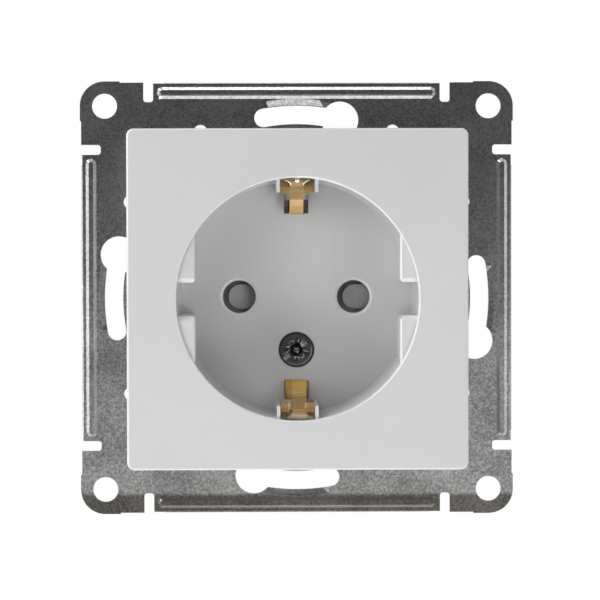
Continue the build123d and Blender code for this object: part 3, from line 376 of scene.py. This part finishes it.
def plastic(name, colour, rough, edge=None):
    """Moulded plastic. edge is a paler colour painted on its rounded edges as a highlight, for
    the light going through and off them.
    """
    material, tree, shader = new_material(name)
    body = uneven(tree, noise(tree, PLASTIC_CLOUDS), tones(colour, PLASTIC_TONES))
    if edge:
        straight = straightness(tree)
        edge_highlight = ramp(tree, straight, tuple(zip(EDGE_HIGHLIGHT_SHOWS, (colour, edge, edge, colour))))
        on_edge = ramp(tree, straight, tuple(zip(EDGE_HIGHLIGHT_SHOWS, (0, 1, 1, 0))))
        body = mixed(tree, on_edge, body, edge_highlight)
    tree.links.new(body, shader.inputs["Base Color"])
    fine = noise(tree, PLASTIC_GRAIN)
    tree.links.new(uneven(tree, fine, [rough * share for share in PLASTIC_ROUGH]),
                   shader.inputs["Roughness"])
    bump(tree, shader, fine, GRAIN_DEPTH)
    return material


def zinc(name):
    """Zinc-plated sheet: mottled grain, and lighter colours painted as a highlight on the faces
    that the press has bent or cut.
    """
    material, tree, shader = new_material(name)
    shader.inputs["Metallic"].default_value = 1.0
    fine = blend(tree, noise(tree, ZINC_GRAIN, roughness=0.6),
                 noise(tree, ZINC_SPOTS, roughness=0.6), ZINC_GRAIN_SHARE)
    patches = noise(tree, ZINC_PATCHES, detail=4.0, roughness=0.6)
    tone = blend(tree, fine, patches, ZINC_FINE_SHARE)
    slope = mapped(tree, straightness(tree), FLAT_FROM, SLOPE_FROM)
    # Faces that look sideways get the painted highlight colours.
    sheet = mixed(tree, slope, ramp(tree, tone, ZINC_FLAT), ramp(tree, tone, ZINC_SLOPE_HIGHLIGHT))
    place = split(tree, coordinates(tree))
    # Painted shade: the lower rim's front is darkened.
    low_shade = maths(tree, "MULTIPLY", between(tree, place["Z"], SHADE_BELOW),
                      between(tree, place["Y"], SHADE_FRONT))
    colour = mixed(tree, low_shade, sheet, ZINC_LOW_SHADE, "MULTIPLY")
    tree.links.new(colour, shader.inputs["Base Color"])
    rough = mixed(tree, slope, ramp(tree, tone, ZINC_FLAT_ROUGH),
                  ramp(tree, tone, ZINC_SLOPE_ROUGH))
    tree.links.new(rough, shader.inputs["Roughness"])
    bump(tree, shader, tone, ZINC_DEPTH)
    return material


def metal(name, colour, rough, spread=METAL_SPREAD, clouds=METAL_CLOUDS, depth=METAL_DEPTH):
    """Plain metal with a cloudy tone that differs by spread each way."""
    material, tree, shader = new_material(name)
    shader.inputs["Metallic"].default_value = 1.0
    tone = noise(tree, clouds, detail=5.0, roughness=0.6)
    tree.links.new(uneven(tree, tone, tones(colour, (1 - spread, 1 + spread))),
                   shader.inputs["Base Color"])
    tree.links.new(uneven(tree, tone, [rough * share for share in METAL_ROUGH]),
                   shader.inputs["Roughness"])
    bump(tree, shader, noise(tree, clouds * METAL_FINER), depth)
    return material


def brass_by_height(name, rough):
    """Brass with a brushed grain across, whose colour by height, partly tarnish and partly
    painted light, follows BRASS_ZONES.
    """
    material, tree, shader = new_material(name)
    shader.inputs["Metallic"].default_value = BRASS_SHEEN
    place = split(tree, coordinates(tree))
    reach = BRASS_ZONES[-1][0]
    zone = ramp(tree, between(tree, place["Z"], (-reach, reach)),
                [((z + reach) / (2 * reach), colour) for z, colour in BRASS_ZONES])
    tone = blend(tree, noise(tree, BRASS_GRAIN, stretch=BRASS_STRETCH),
                 noise(tree, BRASS_CLOUDS, detail=4.0), BRASS_GRAIN_SHARE)
    tinted = mixed(tree, 1.0, zone, ramp(tree, tone, BRASS_SHADE), "MULTIPLY")
    low_ear = maths(tree, "MULTIPLY",
                    between(tree, maths(tree, "ABSOLUTE", place["X"]), LOWER_EAR_X),
                    between(tree, place["Z"], LOWER_EAR_Z))
    tree.links.new(mixed(tree, low_ear, tinted, BRASS_DARKER, "MULTIPLY"),
                   shader.inputs["Base Color"])
    tongue_end = between(tree, maths(tree, "ABSOLUTE", place["Z"]), TONGUE_END)
    plain = uneven(tree, tone, [rough * share for share in BRASS_ROUGH])
    rubbed = uneven(tree, tone, [rough * share for share in BRASS_RUBBED])
    tree.links.new(mixed(tree, tongue_end, plain, rubbed), shader.inputs["Roughness"])
    bump(tree, shader, tone, GRAIN_DEPTH)
    return material


# Shapes, as points in mm and faces

def joined(shapes):
    points, faces = [], []
    for more_points, more_faces in shapes:
        faces += [tuple(i + len(points) for i in face) for face in more_faces]
        points += more_points
    return points, faces


def wrapped(rings, sides):
    """The faces between rings that have that many points each."""
    faces = []
    for start in range(0, (rings - 1) * sides, sides):
        for k in range(sides):
            a, b = start + k, start + (k + 1) % sides
            faces.append((a, b, b + sides, a + sides))
    return faces


def closed_bar(points, sides):
    """A bar whose points go round it ring by ring, with a face on both ends."""
    last = len(points) - sides
    ends = [tuple(range(sides - 1, -1, -1)), tuple(range(last, last + sides))]
    return points, wrapped(len(points) // sides, sides) + ends


def wire(path, radii, sides=10):
    """A round bar along the path, closed at both ends."""
    path = [Vector(p) for p in path]
    points = []
    for i, (here, radius) in enumerate(zip(path, radii)):
        along = (path[min(i + 1, len(path) - 1)] - path[max(i - 1, 0)]).normalized()
        across = along.cross(Vector((0, 1, 0)))
        across = across.normalized() if across.length > CROSS_SHORT else Vector((1, 0, 0))
        up = along.cross(across)
        for k in range(sides):
            turn = 2 * math.pi * k / sides
            points.append(here + radius * (math.cos(turn) * across + math.sin(turn) * up))
    return closed_bar(points, sides)


def round_ended(first, second, radius, steps=5):
    """A straight bar with round ends."""
    first, second = Vector(first), Vector(second)
    along = (second - first).normalized()
    turns = [math.pi / 2 * k / steps for k in range(steps + 1)]
    path = [first - along * radius * math.cos(turn) for turn in turns]
    path += [second + along * radius * math.cos(turn) for turn in reversed(turns)]
    radii = [max(END_SHARE * radius, radius * math.sin(turn)) for turn in turns]
    return wire(path, radii + radii[::-1])


def dome(middle, size, rings=6, sides=20):
    """Half an ellipsoid that bulges to the front."""
    middle = Vector(middle)
    points = []
    for i in range(rings):
        turn = math.pi / 2 * i / rings
        for k in range(sides):
            a = 2 * math.pi * k / sides
            points.append(middle + Vector((size[0] * math.cos(turn) * math.cos(a),
                                           -size[1] * math.sin(turn),
                                           size[2] * math.cos(turn) * math.sin(a))))
    points.append(middle - Vector((0, size[1], 0)))
    top = len(points) - 1
    last = top - sides
    faces = wrapped(rings, sides)
    faces += [(last + k, last + (k + 1) % sides, top) for k in range(sides)]
    faces.append(tuple(range(sides - 1, -1, -1)))
    return points, faces


def front_of(obj, x, z):
    """How far back in mm the node's first surface is, seen from the front at x, z."""
    found, place, _, _ = obj.ray_cast(Vector((x, RAY_FROM, z)) * MM, Vector((0, 1, 0)))
    if not found:
        raise ValueError(f"{obj.name} has no surface at {x}, {z}")
    return place.y / MM


def contact_rims(contact):
    """The rolled rims on both sides of the upper tongue's root, and the dimple between."""
    shapes = []
    for side in (1, -1):
        path, radii = [], []
        for k in range(FLARE_STEPS + 1):
            turn = math.pi / 2 * k / FLARE_STEPS
            x = FLARE_MIDDLE[0] - FLARE_SIZE[0] * math.sin(turn)
            z = FLARE_MIDDLE[1] + FLARE_SIZE[1] * math.cos(turn)
            path.append((side * x, front_of(contact, 0, z), z))
            swell = math.sin(math.pi * (k + 1) / (FLARE_STEPS + 2))
            radii.append(FLARE_R * min(1.0, FLARE_THIN + FLARE_SWELL * swell))
        shapes.append(wire(path, radii))
    x, z = DIMPLE_AT
    shapes.append(dome((x, front_of(contact, x, z) + DIMPLE_SUNK, z), DIMPLE_SIZE))
    return joined(shapes)


def rods_across(contact, rods, half, back):
    """Round-ended rods along X on the contact, back of its surface by a share of the radius."""
    shapes = []
    for x, z, radius in rods:
        y = front_of(contact, x, z) + radius * back
        shapes.append(round_ended((x - half, y, z), (x + half, y, z), radius))
    return joined(shapes)


def burnished_band():
    """A sloped facet along the upper slot's outer edge, which fades out at its ends."""
    first, last = (math.asin(x / BAND_R[1]) for x in BAND_X)
    points = []
    for k in range(BAND_STEPS + 1):
        turn = first + (last - first) * k / BAND_STEPS
        fade = min(1.0, BAND_FADE * k / BAND_STEPS, BAND_FADE * (BAND_STEPS - k) / BAND_STEPS)
        section = [(r, front + (1 - fade) * BAND_SINK) for r, front in zip(BAND_R, BAND_FRONT)]
        section += [(r, FRAME_FACE + BAND_ROOT) for r in reversed(BAND_R)]
        points += [(r * math.sin(turn), y, r * math.cos(turn)) for r, y in section]
    return closed_bar(points, sides=4)


def bead_roll():
    """The roll under the upper bead, tapered at its ends."""
    points = []
    inner = ROLL_X - ROLL_TAPER
    for x, rise in ((-ROLL_X, 0.0), (-inner, 1.0), (inner, 1.0), (ROLL_X, 0.0)):
        for z, front in zip(ROLL_Z, ROLL_FRONT):
            points.append((x, FRAME_FACE + (front - FRAME_FACE) * rise, z))
        points += [(x, FRAME_FACE + ROLL_ROOT, z) for z in reversed(ROLL_Z)]
    return closed_bar(points, sides=4)


def on_screw(x, z, back=0.0):
    return Vector((SCREW_MIDDLE[0] + x, SCREW_TOP + back, SCREW_MIDDLE[1] + z))


def screw_glints():
    """What shines in the recess screw's head: ribs, burrs, slot ridges and the ring, in pale
    steel as painted glints on the dark head.
    """
    shapes = []
    for corners in CROSS_RIBS:
        points = [on_screw(*corner) for corner in corners]
        points.append(sum(points, Vector()) / 3 + Vector((0, RIB_DEPTH, 0)))
        shapes.append((points, [(0, 1, 2), (1, 0, 3), (2, 1, 3), (0, 2, 3)]))
    for burr in BURRS:
        shapes.append(wire([on_screw(*p) for p in burr], [BURR_R] * len(burr), FINE_SIDES))
    turn = math.radians(SLOT_TURN)
    along = Vector((math.cos(turn), 0, math.sin(turn)))
    across = Vector((-math.sin(turn), 0, math.cos(turn))) * SLOT_RIDGE_HALF
    for out in SLOT_RIDGES:
        middle = on_screw(0, 0, SLOT_RIDGE_BACK) + along * out
        shapes.append(wire([middle - across, middle + across], [SLOT_RIDGE_R] * 2, FINE_SIDES))
    first, last = (math.radians(a) for a in RING_TURN)
    ring, radii = [], []
    for k in range(RING_STEPS + 1):
        turn = first + (last - first) * k / RING_STEPS
        ring.append(on_screw(RING_R * math.cos(turn), RING_R * math.sin(turn)))
        radii.append(RING_WIRE * math.sqrt(math.sin(math.pi * (k + 1) / (RING_STEPS + 2))))
    shapes.append(wire(ring, radii, FINE_SIDES))
    shapes.append(dome(on_screw(*EYE_SPOT), EYE_SPOT_SIZE, rings=4, sides=12))
    return joined(shapes)


def screw_eye():
    """Painted shade: a near-black disc for the dark hollow round the middle of the screw's cross.
    """
    turns = [2 * math.pi * k / EYE_SIDES for k in range(EYE_SIDES)]
    points = [on_screw(radius * math.cos(turn), radius * math.sin(turn), back)
              for radius, back in EYE_RINGS for turn in turns]
    return closed_bar(points, EYE_SIDES)


def screw_middle():
    return dome(on_screw(0, 0, EYE_MIDDLE_BACK), (EYE_INNER_R, EYE_MIDDLE_RISE, EYE_INNER_R))


def thread(x):
    """A helical ridge on a claw screw's shank: root, sharp crest, root."""
    points, faces = [], []
    section = ((0, -THREAD_HALF), (1, 0.0), (0, THREAD_HALF))
    steps = int((THREAD_TO - THREAD_FROM) / THREAD_PITCH * TURN_STEPS)
    for i in range(steps + 1):
        turn = 2 * math.pi * i / TURN_STEPS
        y = THREAD_FROM + THREAD_PITCH * i / TURN_STEPS
        fade = min(1.0, i / TURN_STEPS, (steps - i) / TURN_STEPS)
        for crest, along in section:
            r = THREAD_R + (THREAD_HEIGHT * fade if crest else THREAD_ROOT)
            points.append((x + r * math.cos(turn), y + along * THREAD_PITCH, r * math.sin(turn)))
    for i in range(steps):
        a = 3 * i
        faces += [(a, a + 3, a + 4, a + 1), (a + 1, a + 4, a + 5, a + 2),
                  (a + 2, a + 5, a + 3, a)]
    faces += [(0, 1, 2), (3 * steps + 2, 3 * steps + 1, 3 * steps)]
    return points, faces


# Pieces

def add_piece(name, shape, look, smooth=True):
    points, faces = shape
    mesh = bpy.data.meshes.new(name)
    mesh.from_pydata([Vector(p) * MM for p in points], [], faces)
    mesh.materials.append(looks[look])
    for face in mesh.polygons:
        face.use_smooth = smooth
    piece = bpy.data.objects.new(name, mesh)
    bpy.context.scene.collection.objects.link(piece)
    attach(piece, "insert")


def add_coil_spring(spring):
    """The shutter's spring, copied from the CAD spring onto the insert, which hides the CAD one.
    """
    piece = bpy.data.objects.new("coil_spring", spring.data.copy())
    bpy.context.scene.collection.objects.link(piece)
    piece.matrix_world = spring.matrix_world.copy()
    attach(piece, "insert")
    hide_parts(spring.name)
    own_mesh(piece)


# Studio

def add_lamp(name, off_axis, around, watts):
    data = bpy.data.lights.new(name, "AREA")
    data.size = LAMP_SIDE * MM
    data.energy = watts
    off_axis, around = math.radians(off_axis), math.radians(around)
    towards = Vector((math.sin(off_axis) * math.cos(around), -math.cos(off_axis),
                      math.sin(off_axis) * math.sin(around)))
    lamp = bpy.data.objects.new(name, data)
    lamp.location = towards * LAMP_AWAY * MM
    lamp.rotation_euler = (-towards).to_track_quat("-Z", "Y").to_euler()
    lamp.visible_camera = False
    bpy.context.scene.collection.objects.link(lamp)


def seen_directly(tree):
    """1 for rays of the camera, of gloss and through glass, 0 for the light on the object"""
    path = node(tree, "ShaderNodeLightPath").outputs
    mirrored = maths(tree, "MAXIMUM", path["Is Glossy Ray"], path["Is Transmission Ray"])
    return maths(tree, "MAXIMUM", path["Is Camera Ray"], mirrored)


def add_world():
    world = bpy.data.worlds.new("studio")
    world.use_nodes = True
    tree = world.node_tree
    background = tree.nodes["Background"]
    background.inputs["Color"].default_value = (1, 1, 1, 1)
    strength = node(tree, "ShaderNodeMapRange")
    strength.inputs["To Min"].default_value = AMBIENT
    strength.inputs["To Max"].default_value = 1.0
    tree.links.new(seen_directly(tree), strength.inputs["Value"])
    tree.links.new(strength.outputs[0], background.inputs["Strength"])
    bpy.context.scene.world = world


def add_sheet(name, side, place, turn, material):
    half = side * MM / 2
    corners = [(-half, -half, 0), (half, -half, 0), (half, half, 0), (-half, half, 0)]
    mesh = bpy.data.meshes.new(name)
    mesh.from_pydata(corners, [], [(0, 1, 2, 3)])
    mesh.materials.append(material)
    sheet = bpy.data.objects.new(name, mesh)
    sheet.location = Vector(place) * MM
    sheet.rotation_euler = Euler([math.radians(a) for a in turn])
    bpy.context.scene.collection.objects.link(sheet)
    return sheet


def add_floor():
    material, tree, shader = new_material("pale_floor")
    shader.inputs["Base Color"].default_value = (*STUDIO_GREY, 1)
    shader.inputs["Roughness"].default_value = STUDIO_ROUGH
    shader.inputs["Specular IOR Level"].default_value = 0.0
    shader.inputs["Emission Color"].default_value = (1, 1, 1, 1)
    glow = maths(tree, "MULTIPLY", seen_directly(tree), FLOOR_GLOW)
    tree.links.new(glow, shader.inputs["Emission Strength"])
    add_sheet("floor", FLOOR_SIDE, (0, 0, -FLOOR_DOWN), (0, 0, 0), material)


def add_card():
    material, _, shader = new_material("dark_card")
    shader.inputs["Base Color"].default_value = (*CARD_GREY, 1)
    shader.inputs["Roughness"].default_value = STUDIO_ROUGH
    place = (0, -CARD_AWAY, CARD_FROM + CARD_SIDE / 2)
    card = add_sheet("dark_card", CARD_SIDE, place, (90, 0, 0), material)
    card.visible_camera = False
    card.visible_diffuse = False
    card.visible_shadow = False


def add_camera():
    data = bpy.data.cameras.new("camera")
    data.lens = CAMERA_LENS
    data.sensor_width = CAMERA_SENSOR
    data.clip_start = CAMERA_NEAR * MM
    camera = bpy.data.objects.new("camera", data)
    camera.location = Vector(CAMERA_PLACE) * MM
    camera.rotation_euler = Euler([math.radians(a) for a in CAMERA_TURN])
    bpy.context.scene.collection.objects.link(camera)
    bpy.context.scene.camera = camera


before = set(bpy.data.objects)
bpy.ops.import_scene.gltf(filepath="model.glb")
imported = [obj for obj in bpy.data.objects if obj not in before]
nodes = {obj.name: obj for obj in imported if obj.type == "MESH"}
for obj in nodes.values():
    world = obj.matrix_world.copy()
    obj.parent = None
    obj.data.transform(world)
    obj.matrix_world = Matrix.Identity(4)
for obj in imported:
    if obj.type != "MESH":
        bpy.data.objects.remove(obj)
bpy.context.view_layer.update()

looks = {
    "plate": plastic("plate_white", PLATE_WHITE, 0.34, PLATE_EDGE_HIGHLIGHT),
    "zinc": zinc("zinc_steel"),
    "housing": plastic("housing_plastic", HOUSING_GREY, 0.45),
    "lid": plastic("lid_plastic", LID_GREY, 0.45),
    "shutter": plastic("shutter_plastic", SHUTTER_GREY, 0.40),
    "brass": metal("brass", BRASS, 0.30),
    "contact_brass": brass_by_height("contact_brass", 0.35),
    "bright_brass": metal("bright_brass", BRASS_HIGHLIGHT, 0.22),
    "bronze": metal("bronze", BRONZE, 0.28),
    "dark_screw": metal("dark_screw", SCREW_DARK, 0.30, spread=0.3),
    "screw_steel": metal("screw_steel", SCREW_STEEL, 0.30),
    "spring_steel": metal("spring_steel", SCREW_STEEL, 0.25),
    "burnished_zinc_highlight": metal("burnished_zinc_highlight", STEEL_HIGHLIGHT, 0.16, spread=BURNISH_SPREAD,
                            clouds=BURNISH_CLOUDS, depth=GRAIN_DEPTH),
    "bright_steel": metal("bright_steel", STEEL_HIGHLIGHT, 0.30),
    "hollow_shade": metal("hollow_shade", SCREW_HOLLOW_SHADE, 0.40),
}
look_of = {
    "cover_plate": "plate", "base_housing": "housing", "contact_cover": "lid",
    "support_frame": "zinc", "right_claw": "zinc", "left_claw": "zinc",
    "shutter": "shutter", "shutter_spring": "spring_steel", "cover_screw": "dark_screw",
    "earth_contact": "contact_brass", "cover_insert": "brass",
    "line_contact": "bronze", "neutral_contact": "bronze",
}
for name, obj in nodes.items():
    obj.data.materials.clear()
    obj.data.materials.append(looks[look_of.get(name, "screw_steel")])

bpy.context.view_layer.update()
contact = nodes["earth_contact"]
curls = [(side * CURL_AT[0], CURL_AT[1], CURL_R) for side in (1, -1)]
# The rims, dimple and creases are in pale brass as a painted highlight.
add_piece("contact_rims", contact_rims(contact), "bright_brass")
add_piece("contact_curls", rods_across(contact, curls, CURL_HALF, -CURL_PROUD), "brass")
add_piece("contact_creases", rods_across(contact, CREASES, CREASE_HALF, CREASE_SUNK),
          "bright_brass")
add_piece("burnished_band", burnished_band(), "burnished_zinc_highlight", smooth=False)
add_piece("bead_roll", bead_roll(), "burnished_zinc_highlight", smooth=False)
# Pale steel pieces painted as glints on the dark screw head.
add_piece("cover_screw_glints", screw_glints(), "bright_steel")
add_piece("cover_screw_eye", screw_eye(), "hollow_shade")
add_piece("cover_screw_middle", screw_middle(), "dark_screw")
add_piece("right_claw_screw_thread", thread(THREAD_X), "screw_steel")
add_piece("left_claw_screw_thread", thread(-THREAD_X), "screw_steel")
add_coil_spring(nodes["shutter_spring"])

for lamp in LAMPS:
    add_lamp(*lamp)
add_world()
add_floor()
add_card()
add_camera()
bpy.context.scene.view_settings.view_transform = "Standard"
